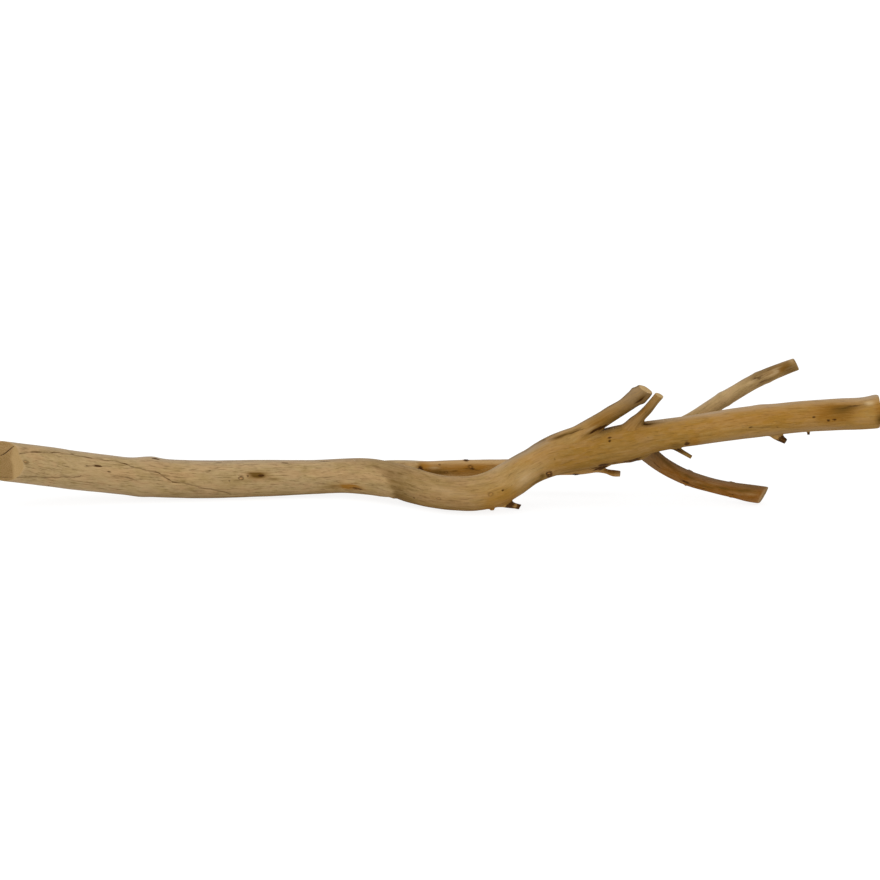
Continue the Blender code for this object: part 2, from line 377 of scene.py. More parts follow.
def bare_wood(name, tan, warm, sawn, fleck=1.0):
    """Bare weathered wood. The fibres are noise on the grain places, squeezed so that each streak
    is many times longer than it is wide. Broad noise shifts the tone, thin dark lines are the
    steep part of a fine noise, and the marks of the skin set its stains, knots and cracks. Fleck
    is how strongly the pale streaks and flecks show."""
    skin = bpy.data.materials.new(name)
    skin.use_nodes = True
    nodes, links = skin.node_tree.nodes, skin.node_tree.links
    shader = nodes["Principled BSDF"]

    def put(kind, inputs, output=0, **settings):
        """One node with its inputs, each a value or another node's output."""
        made = nodes.new("ShaderNode" + kind)
        for key, value in settings.items():
            setattr(made, key, value)
        for key, value in inputs.items():
            if isinstance(value, bpy.types.NodeSocket):
                links.new(value, made.inputs[key])
            else:
                made.inputs[key].default_value = value
        return made.outputs[output]

    def mark(kind):
        """One of the marks that the skin carries."""
        return put("Attribute", {}, "Fac", attribute_name=kind)

    grain = put("Attribute", {}, "Vector", attribute_name="grain")

    def streaks(along, across, detail, rough=0.55):
        """Noise with so many waves to a metre along the fibres and across them."""
        squeezed = put("VectorMath", {0: grain, 1: (along, across, across)}, operation="MULTIPLY")
        return put("TexNoise", {"Vector": squeezed, "Scale": 1.0, "Detail": detail, "Roughness": rough}, 0)

    def between(value, low, high, to_low=0.0, to_high=1.0):
        """Smooth step: to_low where the value is low, to_high where it is high."""
        inputs = {"Value": value, "From Min": low, "From Max": high, "To Min": to_low, "To Max": to_high}
        return put("MapRange", inputs, "Result", interpolation_type="SMOOTHSTEP")

    def plus(one, two):
        """One and two added up."""
        return put("Math", {0: one, 1: two}, operation="ADD")

    def less(one, two):
        """One less two."""
        return put("Math", {0: one, 1: two}, operation="SUBTRACT")

    def times(one, two):
        """One times two."""
        return put("Math", {0: one, 1: two}, operation="MULTIPLY")

    def blend(share, one, two):
        """One colour with a share of the other."""
        return put("Mix", {0: share, 6: one, 7: two}, 2, data_type="RGBA", blend_type="MIX")

    def glaze(tone, layers):
        """Screen colours laid over a tone one by one, each by its share."""
        for share, colour in layers:
            tone = blend(share, tone, screen_colour(*colour))
        return tone

    blotch = streaks(14, 42, 3)
    cloud = streaks(30, 80, 4, 0.62)
    mottle = streaks(95, 170, 3, 0.6)
    streak = streaks(22, 330, 4, 0.6)
    dash = streaks(62, 620, 3, 0.6)
    fibre = streaks(100, 1700, 3)

    # the tan of the butt turns warmer along the limb, and the streaks are calmer where it is warm
    shift = between(blotch, 0.3, 0.7, -0.14, 0.14)
    warmth = put("Math", {0: mark("warm"), 1: shift}, operation="ADD", use_clamp=True)
    calm = between(mark("warm"), 0.2, 0.9, 1.0, 0.58)
    tone = glaze(blend(warmth, screen_colour(*tan), screen_colour(*warm)), [
        (times(between(noise, low, high, 0.0, share), calm), colour)
        for noise, low, high, share, colour in [
            (cloud, 0.47, 0.6, 0.34 * fleck, (164, 128, 92)), (cloud, 0.5, 0.36, 0.3, (126, 104, 54)),
            (mottle, 0.5, 0.66, 0.15 * fleck, (180, 154, 108)), (mottle, 0.48, 0.34, 0.15, (106, 82, 38)),
            (streak, 0.48, 0.68, 0.21, (98, 74, 34)), (streak, 0.46, 0.3, 0.24 * fleck, (180, 154, 108)),
            (dash, 0.55, 0.68, 0.52, (84, 60, 26)), (dash, 0.42, 0.3, 0.22 * fleck, (186, 160, 116)),
            (fibre, 0.47, 0.68, 0.3, (96, 72, 34)),
        ]
    ])

    # the marks, with ragged borders that follow the fibres, and the eyes of the knots in a collar
    ragged = between(dash, 0.38, 0.62, 0.7, 1.25)
    patchy = times(between(streak, 0.3, 0.62, 0.75, 1.15), ragged)
    spotted = times(times(mark("knot"), between(mottle, 0.35, 0.65, 0.75, 1.2)), ragged)
    ring = plus(mark("eye_gap"), between(dash, 0.3, 0.7, -0.3, 0.3))
    collar = times(between(ring, 0.3, 0.55), between(ring, 0.7, 1.3, 1.0, 0.0))
    unsteady = times(between(dash, 0.35, 0.65, -0.6, 0.5), between(mark("cut"), 0.0, 1.0, 1.0, 0.0))
    width = plus(put("Math", {0: mark("crack_gap")}, operation="ABSOLUTE"), unsteady)
    split = times(mark("crack"), between(width, 0.1, 0.9, 1.0, 0.0))
    tone = glaze(tone, [
        # the grey mark lays a pale grey that is partly painted sheen on the edges, and the dusky and knot
        # marks lay dark browns that are partly painted shade
        (times(mark("grey"), between(streak, 0.3, 0.65, 0.6, 1.25)), (158, 142, 122)),
        (times(mark("stain"), patchy), (136, 92, 30)),
        (times(mark("pale"), patchy), (180, 152, 110)),
        (times(mark("dusk"), between(streak, 0.3, 0.62, 0.82, 1.1)), (88, 62, 20)),
        (between(spotted, 0.25, 0.72, 0.0, 0.94), (57, 31, 7)),
        (times(mark("eye"), collar), (72, 44, 16)),
        (times(mark("eye"), between(ring, 0.1, 0.45, 0.75, 0.0)), (166, 112, 58)),
        (split, (74, 46, 16)),
    ])

    # the sawn faces, with year rings about 1.8 mm wide round the pith
    middle = put("VectorMath", {0: grain, 1: (0, 1, 1)}, operation="MULTIPLY")
    pith = put("VectorMath", {0: middle}, "Value", operation="LENGTH")
    year = put("Math", {0: plus(times(pith, 3400.0), times(blotch, 7.0))}, operation="SINE")
    face = glaze(screen_colour(*sawn), [
        (between(year, -1.0, 1.0, 0.0, 0.3), (98, 70, 32)),
        (between(mottle, 0.42, 0.62, 0.0, 0.4), (116, 90, 46)),
        (between(dash, 0.4, 0.6, 0.0, 0.35), (168, 140, 98)),
        # on the sawn faces the dusky mark is mostly painted shade, as on the lower part of the butt face
        (mark("dusk"), (108, 84, 44)),
        (mark("pale"), (172, 144, 98)),
        (split, (40, 22, 6)),
    ])
    links.new(blend(mark("cut"), tone, face), shader.inputs["Base Color"])

    # a dull finish, and a fine relief with its dark lines, collars and cracks sunk in
    rough = plus(between(streak, 0.25, 0.75, 0.6, 0.8), times(mark("knot"), 0.1))
    links.new(rough, shader.inputs["Roughness"])
    height = plus(plus(times(streak, 0.9), times(fibre, 0.45)), times(mottle, 0.5))
    dark_line = between(dash, 0.55, 0.68, 0.0, 0.7)
    for dip in [times(dark_line, 0.9), times(collar, mark("eye")), times(split, 2.5)]:
        height = less(height, dip)
    bump = put("Bump", {"Strength": 0.55, "Distance": 0.0008, "Height": height}, "Normal")
    links.new(bump, shader.inputs["Normal"])
    shader.inputs["Metallic"].default_value = 0
    shader.inputs["IOR"].default_value = 1.45
    shader.inputs["Specular IOR Level"].default_value = 0.04
    return skin


thick = set_out(thick_limb_line, 700, 120, (0.2, 0.975), (0.05, 0), start_face=20, end_face=12, twist=-0.0008)
thick["radius"] += 0.30 * waves(thick, 1, 3, 7, 7) + 0.22 * waves(thick, 2, 1, 3, 2.5)
thick["radius"] += 0.09 * waves(thick, 3, 10, 26, 9)

# the butt is a little square, with a flatter side at its upper front
from_butt = thick["along"][:, None]
boxy = np.exp(-(from_butt / 60) ** 2)
thick["radius"] -= 0.02 * thick["core"][:, None] * boxy * np.cos(4 * thick["turn"][None])
flat_side = strip(thick, 0.85, 0.42) * np.exp(-(from_butt / 45) ** 2)
thick["radius"] -= 0.22 * thick["core"][:, None] * flat_side
thick["marks"]["pale"] += 0.3 * np.exp(-(from_butt / 3) ** 2) * thick["outer"]
thick["marks"]["warm"] += course(
    thick, [0, 430, 560, 700, 800, 980, 1225], [0, 0.08, 0.3, 0.5, 0.95, 1, 0.95],
)

# grey and darker strips. The grey ones on the upper and lower edges are painted sheen, the white room
# seen in the edges; the darker ones are painted shade just behind the top, on the lower front and on
# the underside, and the one with no end to its width goes all the way round.
upward = -np.radians(course(thick, [700, 800], [15, 2]))
downward = np.radians(168)
for mark, turn, width, share, places, shares in [
    ("grey", upward, 0.5, 0.75, [0, 160, 200, 450, 480, 530, 690, 740, 800, 820, 900, 930, 1225],
     [1, 1, 1.25, 1.25, 1, 0.3, 0.3, 1, 1, 0.2, 0.2, 0.8, 0.8]),
    ("dusk", -0.14, 0.24, 0.5, [200, 240, 480, 520, 720, 740, 880, 930], [0, 0.5, 0.5, 0, 0, 1, 1, 0]),
    ("grey", downward, 0.45, 0.55, [0, 180, 300], [1, 0.8, 0]),
    ("dusk", 2.5, 0.5, 0.3, [180, 240, 560, 640, 680, 740, 1225], [0, 0.8, 1, 1, 0.4, 1, 0.6]),
    ("dusk", 0, np.inf, 0.18, [530, 560, 640, 700, 760, 800, 900, 1000], [0, 1, 1, 0, 0, 1, 1, 0]),
    ("dusk", downward, 0.42, 0.4, [120, 180, 420, 480, 760, 1225], [0, 1.5, 1.5, 1, 1, 0.2]),
    ("grey", 2.45, 0.35, 0.25, [940, 1000, 1160, 1200], [0, 1, 1, 0.3]),
]:
    streak = share * strip(thick, turn, width) * course(thick, places, shares)
    thick["marks"][mark] += streak * thick["outer"]

# the long drying crack winds down from the top of the butt, and shorter ones lie below it
long_crack = [
    (18, 47), (39, 33), (64, 27), (92, 20), (108, 26), (140, 28), (151, 27), (189, 49), (201, 60),
    (213, 61), (234, 84), (256, 91), (281, 106), (299, 118), (313, 130),
]
cut_crack(thick, long_crack, 1.3, 0.9, 0.95)
cut_crack(thick, [(15, 124), (51, 111), (92, 98), (105, 90)], 1.4, 0.7, 0.9, 3)
cut_crack(thick, [(151, 78), (167, 79), (185, 85)], 1.2, 0.5, 0.6, 4)
cut_crack(thick, [(36, 34), (52, 30), (64, 29)], 1.2, 0.6, 0.8, 9)
cut_crack(thick, [(112, 58), (124, 54), (136, 51), (146, 52)], 1.2, 0.5, 0.7, 6)

# knots
for along, degrees, size, height, dark, tall in [
    (30, 72, 3.2, 0.5, 0.6, 1), (684, 84, 3.0, 0.4, 0.4, 1.2), (768, 125, 3.9, 1.3, 1.5, 1.7),
    (803, 23, 3.2, 0.4, 0.8, 1), (327, 72, 3.0, 0.4, 0.8, 1), (620, 32, 2.2, 0.2, 0.3, 1),
    (626, 94, 2.4, 0.3, 0.35, 1),
]:
    set_knot(thick, along, degrees, size, height, dark, tall)

# dark specks, each in a shallow pit. The large specks on the underside from 847 to 893 along are
# painted shade, the shadowed underside and crotch of the limb next to the root of the lower branch.
for along, degrees, length, width, dark in [
    (127, 53, 8.0, 2.0, 1.0), (144, 67, 5.0, 1.4, 0.7), (112, 56, 5.0, 1.3, 0.5), (326, 72, 1.6, 1.4, 0.7),
    (847, 148, 6, 5, 1.9), (880, 150, 8, 3.5, 0.8), (893, 148, 8, 3, 0.7), (862, 146, 8, 4, 0.6),
    (312, 58, 2.4, 1.2, 0.35), (888, 165, 9, 5, 0.9), (964, 127, 4, 4.5, 1.3), (765, 120, 1.6, 4, 1.0),
    (311, 81, 2.2, 1.6, 0.9), (336, 67, 2.2, 1.8, 0.7), (255, 22, 1.8, 1.6, 0.5), (284, 48, 2.2, 1.8, 0.55),
    (290, 44, 1.6, 1.2, 0.4), (66, 147, 2.2, 1.8, 0.8), (753, 140, 2.8, 2.2, 0.6), (864, 50, 2.6, 1.8, 1.7),
    (863, 61, 2.0, 1.6, 1.5), (754, 46, 2.0, 1.4, 0.5), (782, 80, 1.6, 2.6, 0.7), (699, 84, 1.7, 1.5, 1.0),
    (713, 85, 1.6, 1.5, 0.6), (614, 65, 1.8, 1.6, 0.6), (591, 109, 1.9, 1.6, 0.7), (603, 40, 1.7, 1.5, 0.5),
    (643, 7, 1.8, 1.2, 0.6), (649, 8, 1.6, 1.2, 0.6), (699, 50, 1.7, 1.4, 0.6), (1133, 80, 2.4, 1.5, 1.3),
    (1050, 95, 3.5, 1.2, 0.6), (1085, 107, 2.2, 1.5, 0.6), (1008, 96, 1.8, 1.2, 0.5),
    (913, 74, 2.4, 1.2, 0.5), (1152, 96, 2.2, 1.7, 1.4), (1160, 94, 3.4, 1.4, 1.2),
    (1040, 92, 2.0, 1.0, 0.6), (1062, 84, 2.0, 1.0, 0.5),
]:
    speck = spot(thick, along, degrees, length, width)
    thick["marks"]["knot"] += dark * speck
    thick["radius"] -= 0.25 * speck

# swellings and hollows, then stains, dusky and pale places and dark lines
swell(thick, [
    (204, 357, 9, 10, 1.0), (186, 152, 12, 9, 1.3), (759, 118, 9, 8, -1.6), (548, 160, 13, 16, -2.2),
    (886, 166, 9, 8, 2.4), (898, 166, 6, 6, 2.6), (1196, 0, 16, 20, -0.9), (1218, 352, 8, 14, 0.9),
    (1170, 68, 24, 12, -1.4), (803, 25, 14, 10, 0.6), (976, 124, 8, 7, 0.8), (1060, 0, 44, 16, -1.3),
    (757, 0, 18, 14, -1.5), (1066, 0, 9, 14, 0.7), (1090, 0, 12, 14, -0.5),
])
# the dusky dabs on top at 848 and 852 along are painted shade in the crotch under the upper stub
dab(thick, [
    ("dusk", 350, 65, 10, 3.6, 1.6), ("knot", 354, 66, 5, 2.6, 0.9), ("dusk", 371, 78, 9, 1.4, 0.7),
    ("stain", 348, 65, 13, 5, 0.6), ("stain", 484, 112, 20, 4.2, 1.6), ("knot", 494, 117, 12, 2.2, 1.0),
    ("dusk", 340, 59, 6, 1.4, 0.6), ("pale", 128, 64, 26, 9, 0.3), ("dusk", 455, 112, 12, 2.4, 0.5),
    ("knot", 389, 18, 9, 1.8, 0.75), ("knot", 444, 12, 9, 1.8, 0.85), ("knot", 295, 12, 8, 1.6, 0.7),
    ("stain", 650, 152, 60, 12, 0.5), ("knot", 207, 10, 6, 2.0, 1.1), ("knot", 30, 20, 9, 1.6, 0.5),
    ("dusk", 758, 122, 4, 5, 0.7), ("stain", 694, 117, 14, 13, 0.14), ("warm", 694, 117, 20, 16, 1.0),
    ("stain", 704, 146, 16, 10, 0.4), ("dusk", 748, 134, 10, 4, 0.5), ("stain", 770, 122, 2.5, 4, 0.8),
    ("pale", 626, 61, 12, 4, 0.35), ("pale", 640, 72, 14, 4, 0.35), ("pale", 570, 46, 6, 4, 0.35),
    ("pale", 735, 95, 16, 8, 0.5), ("dusk", 1172, 60, 18, 8, 0.5), ("knot", 1186, 45, 15, 2.2, 0.6),
    ("dusk", 1186, 48, 20, 4.5, 0.4), ("dusk", 1219, 106, 5, 10, 0.9), ("stain", 682, 160, 6, 8, 1.2),
    ("warm", 682, 155, 8, 9, 0.6), ("stain", 1219, 70, 6, 14, 0.8), ("pale", 1208, 38, 6, 4, 0.9),
    ("dusk", 948, 130, 12, 5, 0.5), ("stain", 900, 20, 14, 12, 0.4), ("stain", 1080, 60, 90, 14, 0.3),
    ("stain", 974, 122, 7, 6, 1.0), ("dusk", 794, 3, 17, 5, 1.0), ("knot", 790, 6, 12, 2.2, 0.8),
    ("dusk", 852, 350, 14, 5, 0.9), ("dusk", 914, 24, 13, 3.6, 0.9), ("knot", 916, 25, 8, 2.2, 0.7),
    ("dusk", 1068, 100, 40, 3, 0.15), ("knot", 1050, 98, 12, 1.2, 0.4), ("knot", 1072, 100, 14, 1.0, 0.4),
    ("dusk", 848, 4, 10, 4, 1.2), ("knot", 846, 6, 8, 2.4, 1.0),
])

# the brown scar of a torn twig near the thin end, and the pale wood worn bare beside it
worn_bare = spot(thick, 1202, 90, 18, 14, 2) * (1 - 0.5 * spot(thick, 1188, 62, 12, 7))
scar = spot(thick, 1162, 70, 30, 15, 2) * (1 - worn_bare)
thick["marks"]["stain"] += 0.85 * scar
thick["marks"]["dusk"] += 0.22 * scar
thick["marks"]["pale"] += 0.08 * worn_bare
thick["radius"] -= 0.25 * scar

# where the limb turns towards the viewer its fibres wind over each other in a slanting fold. The
# ridge and the broad band before it are painted a little paler as light, and the hollow behind it is
# painted darker as shade.
fold_path = [(443, 16), (466, 40), (496, 51), (525, 57), (539, 70), (547, 89), (552, 104), (552, 124)]
away, side = trail(thick, fold_path)
signed = -away * side
grown = course(thick, [445, 500, 545], [0.15, 0.5, 1.0])
behind = np.where(signed > 0, np.exp(-(signed / 38) ** 2) * (1 - np.exp(-(signed / 5) ** 2)), 0) * grown
before = np.exp(-((signed + 4) / 7) ** 2) * grown
broad = np.exp(-((signed + 17) / 15) ** 2) * grown
thick["radius"] += 0.8 * before - 1.3 * behind
thick["marks"]["pale"] += 0.08 * before + 0.08 * broad
thick["marks"]["dusk"] += 0.48 * behind

# fine cracks near the thin end, and one on top between the two stubs
cut_crack(thick, [(1158, 52), (1183, 49), (1195, 44), (1204, 41)], 1.2, 0.4, 0.45, 8)
cut_crack(thick, [(1046, 93), (1057, 100), (1085, 107)], 1.1, 0.3, 0.25, 7)
cut_crack(thick, [(784, 4), (796, 350), (827, 349), (858, 350)], 1.8, 0.8, 0.5, 2)

# two drying checks and the paler front band of the sawn butt, both in shares of its radius. The
# lower part of the face, outside the front band, is painted darker as shade.
butt_radius = thick_limb_line[0][3]
section_rise = thick["rho"][:, None] * np.cos(thick["turn"][None])
section_out = thick["rho"][:, None] * np.sin(thick["turn"][None])
on_butt = ~thick["outer"] & (from_butt < 1)
front_band = np.clip((section_out + 0.32 * section_rise - 0.42) / 0.14, 0, 1) * on_butt
thick["marks"]["pale"] += 0.5 * front_band
thick["marks"]["dusk"] += 0.32 * np.clip((0.5 - section_rise) / 0.4, 0, 1) * (1 - front_band) * on_butt
for path, dark in [
    ([(0.88, 0.23), (0.64, 0.11), (0.37, -0.02), (0.24, -0.14)], 1.0),
    ([(-0.62, 0.6), (-0.75, 0.3), (-0.85, 0.1)], 0.4),
]:
    check = np.full(on_butt.shape, 9.0)
    for (r0, o0), (r1, o1) in zip(path[:-1], path[1:]):
        rise, out = r1 - r0, o1 - o0
        t = ((section_rise - r0) * rise + (section_out - o0) * out) / (rise ** 2 + out ** 2)
        t = np.clip(t, 0, 1)
        check = np.minimum(check, np.hypot(section_rise - r0 - t * rise, section_out - o0 - t * out))
    thick["face_push"] += 0.8 * np.exp(-(check / 0.04) ** 2) * on_butt
    nearer = on_butt & (butt_radius * check < thick["marks"]["crack_gap"])
    thick["marks"]["crack_gap"] = np.where(nearer, butt_radius * check, thick["marks"]["crack_gap"])
    thick["marks"]["crack"] = np.where(nearer, dark * np.exp(-(check / 0.15) ** 2), thick["marks"]["crack"])

# the short sawn stub on top
short_stub = grow_out(thick, [
    (272, -23.5, 103.5, 13.5), (280, -26, 118.5, 10), (288, -28, 129, 7),
    (296, -30, 138.5, 6.5), (304, -31.5, 149.5, 6), (311.5, -33, 159.5, 6),
], 56, 32, 8.0, end_slant=(-0.2, -0.15), end_face=7)
short_stub["marks"]["warm"] += 0.6
# painted shade over the whole round skin, and a grey strip of painted sheen on top
short_stub["marks"]["dusk"] += 0.22 * short_stub["outer"]
short_stub["marks"]["pale"] += 0.7 * short_stub["marks"]["cut"]
short_stub["marks"]["grey"] += 0.35 * strip(short_stub, -0.2, 0.6)
short_stub["marks"]["stain"] += course(short_stub, [10, 30, 48], [0.3, 0.3, 0.1])
dab(short_stub, [
    ("dusk", 44, 120, 16, 4, 0.5), ("dusk", 30, 0, 30, 2.4, 0.7), ("stain", 44, 60, 14, 3, 0.5),
])

# the broken stub under the bend, and the blunt knob beside it
broken_stub = grow_out(thick, [
    (100.5, -33, 14, 9.5), (111, -34.5, 9.5, 6), (119.5, -35.5, 7, 4), (127.5, -37, 5.5, 3.5),
], 34, 26, 5.0, end_slant=(0.3, 0), end_face=5)
broken_stub["radius"] += 0.25 * waves(broken_stub, 12, 4, 9, 3)
# darker near the root, painted as the shade of the crotch, and again at the broken tip
broken_stub["marks"]["knot"] += course(broken_stub, [9, 12, 18, 21, 23, 26], [0.1, 1.1, 0.9, 0.5, 0.4, 1])
broken_stub["marks"]["cut"] *= 0.4
under_knob = grow_out(thick, [
    (89, -37, 12, 5.5), (89.5, -40, 7, 4), (89.8, -42.5, 3, 2.6),
], 16, 20, 2.5, end_face=4)
under_knob["marks"]["stain"] += 0.9
under_knob["marks"]["cut"] *= 0

# the thin twig, the torn wedge and the pea-sized knob along the underside
thin_twig = grow_out(thick, [
    (327, -25, 91, 4.5), (337, -26, 84.5, 3.5), (346.5, -27.5, 79, 3), (357.2, -29.3, 73, 2.5),
], 40, 20, 3.0, end_face=4)
thin_twig["marks"]["knot"] += course(thin_twig, [0, 10, 18, 30], [1.0, 0.9, 0.5, 0.25])
thin_twig["marks"]["dusk"] += 0.6
torn_wedge = grow_out(thick, [
    (465, -31.5, 111.5, 10), (471.5, -33, 104, 7), (477, -34.5, 99.5, 4.5), (482, -35.5, 96.5, 3.5),
], 28, 24, 3.0, end_face=4)
torn_wedge["marks"]["knot"] += course(torn_wedge, [10, 16], [0.0, 1.2])
torn_wedge["marks"]["cut"] *= 0
small_knob = grow_out(thick, [(511.5, -34.5, 111.5, 2.5), (512, -35.5, 106, 1.6)], 10, 16, 1.5, end_face=3)
small_knob["marks"]["knot"] += 0.8
small_knob["marks"]["cut"] *= 0
thick_growths = [short_stub, broken_stub, under_knob, thin_twig, torn_wedge, small_knob]
for growth in [broken_stub, under_knob, thin_twig, torn_wedge, small_knob]:
    growth["marks"]["warm"] += 0.8
for growth, reach in zip(thick_growths, [7.0, 1.5, 1.0, 1.5, 2.0, 0.8]):
    share_marks(growth, thick, reach)

limb_wood = bare_wood("limb_wood", tan=(160, 136, 97), warm=(148, 108, 44), sawn=(142, 112, 72))
thick_piece = skin_mesh("thick_limb_skin", [thick] + thick_growths)
thick_piece.data.materials.append(limb_wood)
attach(thick_piece, "root")
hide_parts("main_limb")

# THE REAR LIMB
# The thinner of the two limbs at the fork. It passes behind the thick one, carries a short sawn
# side stub and two knobs, and climbs to the high sawn tip. It is browner than the thick limb.
rear = set_out([
    (-104.5, 36, 31, 11), (-56.5, 41.5, 35.5, 12.5), (19.5, 47, 36, 12), (102.5, 44, 37, 12),
    (185, 40, 40.5, 12), (231.5, 37.5, 45.5, 11.5), (256, 36, 57.5, 11.5), (283, 34.5, 72.5, 11),
    (321, 34.5, 87.5, 10.5), (361.5, 34.5, 107.5, 10.5), (418, 37.5, 143.5, 10.5),
    (450.5, 40, 162, 10), (480.5, 43, 175, 9.5), (505, 44, 184.5, 9),
], 500, 64, end_slant=(-0.15, -0.2), twist=0.004)
rear["radius"] += 0.16 * waves(rear, 21, 3, 6, 6) + 0.05 * waves(rear, 22, 8, 16, 8)
swell(rear, [
    (535, 14, 5, 8, 1.3), (538, 133, 5, 8, 1.1), (590, 26, 5, 9, 1.3), (603, 120, 6, 8, 1.1),
    (108, 352, 34, 11, -2.2),
])
for along, degrees, size, height, dark in [
    (167, 66, 3.2, 0.5, 0.6), (124, 48, 1.8, 0.2, 0.6), (133, 101, 1.8, 0.2, 0.5), (594, 54, 2.4, 0.2, 0.3),
]:
    set_knot(rear, along, degrees, size, height, dark)
dab(rear, [
    ("knot", 347, 115, 9, 8, 1.2), ("knot", 331, 116, 10, 5, 0.4), ("knot", 630, 62, 7, 2.6, 0.3),
    ("dusk", 627, 64, 12, 6, 0.16), ("knot", 312, 158, 5, 5, 1.5), ("dusk", 167, 70, 12, 6, 0.12),
    ("stain", 624, 67, 14, 7, 0.9), ("pale", 636, 86, 6, 1.8, 0.9), ("pale", 616, 70, 4, 1.8, 0.9),
    ("pale", 610, 82, 7, 1.3, 1.2), ("pale", 616, 48, 8, 1.3, 1.2), ("knot", 592, 96, 10, 1.6, 0.7),
    ("knot", 170, 76, 4, 1.6, 0.7), ("knot", 166, 56, 3, 1.4, 0.6), ("knot", 150, 70, 4, 1.2, 0.4),
    ("knot", 583, 50, 7, 1.6, 0.6), ("knot", 604, 34, 8, 1.4, 0.5), ("pale", 578, 66, 8, 2, 0.8),
    ("dusk", 605, 14, 36, 9, 0.7), ("dusk", 636, 104, 14, 8, 0.7), ("knot", 590, 66, 4, 2.2, 0.7),
    ("dusk", 600, 104, 14, 3, 0.5), ("dusk", 520, 120, 40, 5, 0.3), ("pale", 545, 60, 40, 9, 0.4),
    ("knot", 197, 52, 10, 2, 0.5), ("stain", 160, 80, 60, 12, 0.5), ("pale", 614, 62, 3, 2, 0.9),
    ("pale", 640, 30, 3, 6, 0.6), ("knot", 178, 88, 9, 1.4, 0.6), ("knot", 161, 2, 4, 4, 1.3),
    ("knot", 146, 92, 10, 1.3, 0.5), ("dusk", 128, 98, 14, 3, 0.5), ("pale", 116, 72, 8, 2, 0.5),
    ("stain", 176, 58, 12, 4, 0.7), ("knot", 161, 80, 5, 1.2, 0.6), ("dusk", 208, 66, 12, 2, 0.6),
])

# the warm wood starts at a slanting border at the fork, with a dark patch painted in the crotch as
# shade
rear["marks"]["warm"] += course(rear, [0, 420, 500, 600, 650], [1, 1, 0.35, 0.3, 0.6])
sloping = rear["along"][:, None] - 0.35 * rear["core"][:, None] * np.cos(rear["turn"][None])
rear["marks"]["stain"] += np.interp(sloping, [90, 99, 300, 400, 470], [0, 0.2, 0.2, 0.35, 0.0])
rear["marks"]["warm"] *= np.interp(sloping, [88, 97], [0.1, 1])
# a grey strip of painted sheen along the top
rear["marks"]["grey"] += 0.75 * strip(rear, -0.26, 0.6) * rear["outer"]
low_part = course(rear, [100, 115, 230, 260], [0, 1, 1, 0])
rear["marks"]["pale"] += 0.45 * strip(rear, 0.5, 0.35) * low_part
dab(rear, [
    ("dusk", 97, 80, 3.0, 9, 0.6), ("dusk", 112, 110, 20, 7, 0.5), ("knot", 97, 84, 3.6, 6, 1.3),
    ("stain", 102, 70, 8, 8, 0.8),
])
fork_fillet = ([-55, -16, 0, 25], [2, 18, 8, 3])
draw_up(rear, thick, fork_fillet)
draw_up(thick, rear, fork_fillet)
share_marks(rear, thick, 7.0)

# the side stub with its pale face, and the two knobs
side_stub = grow_out(rear, [
    (223.5, 39, 40, 7), (239, 38, 37, 4.5), (250, 37.5, 34, 3.5), (258, 36.5, 32, 4.5), (268, 36, 31.3, 4),
], 40, 24, 3.5, end_face=5)
side_stub["marks"]["stain"] += 0.6
side_stub["marks"]["dusk"] += 0.3 * strip(side_stub, 0.6, 0.6)
side_stub["marks"]["pale"] += course(side_stub, [36, 44], [0, 0.35])
top_knob = grow_out(rear, [(52.5, 47, 41.5, 5.5), (55.5, 47, 48, 2)], 12, 18, 2.5, end_face=3)
dark_knob = grow_out(rear, [(205, 37.5, 35, 5), (207.5, 34.5, 30.5, 2)], 12, 18, 2.0, end_face=3)
dark_knob["marks"]["knot"] += 1.2
for growth in [side_stub, top_knob, dark_knob]:
    growth["marks"]["warm"] += 1.0
top_knob["marks"]["knot"] += 0.9
top_knob["marks"]["cut"] *= 0
dark_knob["marks"]["cut"] *= 0
for growth, reach in zip([side_stub, top_knob, dark_knob], [3.0, 1.0, 0.8]):
    share_marks(growth, rear, reach)

rear_wood = bare_wood("rear_wood", tan=(160, 135, 92), warm=(151, 115, 64), sawn=(128, 96, 46))
rear_piece = skin_mesh("rear_limb_skin", [rear, side_stub, top_knob, dark_knob])
rear_piece.data.materials.append(rear_wood)
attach(rear_piece, "root")
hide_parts("rear_limb")

# THE LOWER BRANCH
# A curved side branch under the thick limb, dark orange brown. Its upper edge is painted grey as
# sheen, and its root and top side are painted darker as shade under the thick limb. Its sawn tip
# touches the ground. Four small knobs mark where twigs broke off.
lower = set_out([
    (281, -15.5, 90.5, 11.5), (298.5, -6, 74, 12), (321.5, 2, 54, 11), (352, 5, 36.5, 10.5),
    (385, 3.5, 25.5, 10), (418, 1, 18.5, 10.5), (442, -2, 14.5, 12), (460.5, -3, 12, 12),
], 170, 64, end_slant=(0.3, -0.38), end_face=10, twist=0.006)
lower["radius"] += 0.15 * waves(lower, 41, 3, 6, 5) + 0.05 * waves(lower, 42, 8, 16, 8)
lower["marks"]["warm"] += 1.0
# painted shade, darkest at the root under the thick limb and fading along the branch
lower["marks"]["dusk"] += lower["outer"] * course(
    lower, [0, 25, 42, 60, 90, 120], [0.7, 0.6, 0.45, 0.25, 0.2, 0.1],
)
